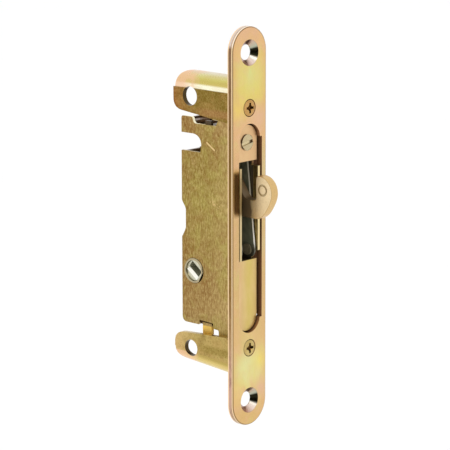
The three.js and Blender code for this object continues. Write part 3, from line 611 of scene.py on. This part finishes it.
def screw_material(name, light, warm, dark):
    """Plating on a screw: bright high spots, painted shade on the sides and in the recess of its head,
    and painted light and shade in the adjuster's groove.
    """
    m = Nodes(name)
    cloud = m.noise(0.5)
    color = m.shades(m.spread(cloud, 0.35, 0.7), light, warm)
    speck = m.noise(4)
    color = m.mottle(color, speck, 0.55, 0.75, 0.35, dark)
    # Painted shade on the sides of the heads.
    color = m.tint(color, m.spread(m.facing("Y"), 0.6, 0.2), (76, 50, 20))
    # Painted shade in the recess of the face screws' heads.
    heads = [m.near_axis("XZ", (0, side * SCREW_Z), 1.7, 1.8) for side in (1, -1)]
    cross = m.both(m.math("MAXIMUM", *heads), m.above(m.part("Y"), SCREW_FRONT + 0.07))
    color = m.tint(color, m.both(cross, 0.9), (96, 60, 22))
    # Painted light and shade in the adjuster's groove: lit on one side, shaded on the other.
    groove = m.above(m.part("Y"), ADJUSTER_FRONT + 0.2)
    groove = m.both(groove, m.near_axis("XZ", (0, ADJUSTER_Z), 2.6, 2.7))
    floor = m.shades(m.above(m.part("X"), 1.1, 0.5), (214, 196, 152), (70, 48, 24))
    color = m.mix(groove, color, floor)
    roughness = m.spread(speck, 0.3, 0.7, 0.2, 0.36)
    return m.finish(color, roughness, m.bump(speck, 0.008, m.bump(cloud, 0.02)))


# ---- finish of the CAD pieces -----------------------------------------------------------------

def dress(node, material, edge_mm):
    """Give a CAD piece its material, and round its edges with modifiers."""
    obj = bpy.data.objects[node]
    obj.data.materials.clear()
    obj.data.materials.append(material)
    weld = obj.modifiers.new("weld", "WELD")
    weld.merge_threshold = 0.00001
    flat = obj.modifiers.new("flat", "DECIMATE")
    flat.decimate_type = "DISSOLVE"
    flat.angle_limit = math.radians(0.6)
    bevel = obj.modifiers.new("edges", "BEVEL")
    bevel.width = edge_mm * MM
    bevel.segments = 3
    bevel.limit_method = "ANGLE"
    bevel.angle_limit = math.radians(32)
    bevel.harden_normals = False
    bevel.use_clamp_overlap = True
    smooth = obj.modifiers.new("smooth", "WEIGHTED_NORMAL")
    smooth.keep_sharp = False
    smooth.weight = 100
    for polygon in obj.data.polygons:
        polygon.use_smooth = True


def dress_all():
    """Each piece's material and the radius of its edges. What isn't named is part of the works."""
    case = case_material()
    inner = inner_material()
    hub = hub_material()
    cheeks = cheek_material()
    special = {
        "adapter_plate": (faceplate_material(), 0.1),
        "left_case_shell": (case, 0.15),
        "right_case_shell": (case, 0.15),
        "upper_bracket": (bracket_material("upper_bracket"), 0.2),
        "lower_bracket": (bracket_material("lower_bracket"), 0.2),
        "upper_face_screw": (screw_material(
            "face_screw_plating", (202, 160, 98), (184, 138, 78), (92, 60, 26)), 0.06),
        "lower_face_screw": (screw_material(
            "lower_screw_plating", (206, 182, 118), (184, 156, 92), (112, 84, 36)), 0.06),
        "adjusting_screw": (screw_material(
            "adjuster_plating", (196, 178, 138), (204, 186, 146), (150, 128, 88)), 0.1),
        "left_cheek": (cheeks, 0.05),
        "right_cheek": (cheeks, 0.05),
        "left_hub_bush": (hub, 0.08),
        "right_hub_bush": (hub, 0.08),
        "hub": (hub, 0.1),
        "hook": (hook_material(), 0.1),
    }
    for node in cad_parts:
        material, edge = special.get(node, (inner, 0.06))
        dress(node, material, edge)


# ---- light and floor --------------------------------------------------------------------------

FLOOR_SIZE, FLOOR_DROP = (24, 24), 0.3   # metres: the floor lies well below the lock
CARD_SIZE = (1.1, 0.6)
CARD_PLACE = (-0.97, -0.87, -0.05)       # behind the camera and a little below it
MIDDLE = (0, 0.01, 0)


def stage_material(name, color, roughness):
    m = Nodes(name)
    darker = [channel * 0.985 for channel in color] + [1]
    tone = m.mix(m.spread(m.noise(0.004, detail=2), 0.3, 0.7), (*color, 1), darker)
    return m.finish(tone, roughness, metallic=0.0)


def add_plane(name, size, location, aim, material):
    """A flat sheet facing a point. It belongs to the stage, not to the lock."""
    mesh = bpy.data.meshes.new(name)
    w, h = size[0] / 2, size[1] / 2
    mesh.from_pydata([(-w, -h, 0), (w, -h, 0), (w, h, 0), (-w, h, 0)], [], [(0, 1, 2, 3)])
    mesh.materials.append(material)
    sheet = bpy.data.objects.new(name, mesh)
    sheet.location = location
    sheet.rotation_euler = (Vector(aim) - Vector(location)).to_track_quat("Z", "Y").to_euler()
    scene.collection.objects.link(sheet)
    return sheet


def add_dark_card():
    """A dark sheet that only reflections see: it gives the metal its dark accents."""
    material = stage_material("dark_card", (0.02, 0.018, 0.015), 0.8)
    card = add_plane("dark_card", CARD_SIZE, CARD_PLACE, MIDDLE, material)
    card.visible_camera = False
    card.visible_diffuse = False
    card.visible_shadow = False


def add_light(name, size, location, power):
    """A soft rectangular light aimed at the middle of the lock."""
    data = bpy.data.lights.new(name, "AREA")
    data.shape = "RECTANGLE"
    data.size, data.size_y = size
    data.energy = power
    light = bpy.data.objects.new(name, data)
    light.location = location
    light.rotation_euler = (Vector(location) - Vector(MIDDLE)).to_track_quat("Z", "Y").to_euler()
    scene.collection.objects.link(light)


def light_the_stage():
    floor_height = cad_box[0][2] - FLOOR_DROP
    floor = stage_material("pale_floor", (0.97, 0.97, 0.97), 0.6)
    add_plane("floor", FLOOR_SIZE, (0, 0, floor_height), (0, 0, 1), floor)
    world = bpy.data.worlds.new("studio")
    world.use_nodes = True
    background = world.node_tree.nodes["Background"]
    background.inputs["Color"].default_value = (1, 1, 1, 1)
    background.inputs["Strength"].default_value = 1.05
    scene.world = world
    add_light("key", (0.4, 0.6), (-0.5, -0.6, 0.8), 1.6)
    add_dark_card()
    scene.view_settings.view_transform = "Standard"


# ---- the scene --------------------------------------------------------------------------------

place_camera()
dress_all()
light_the_stage()
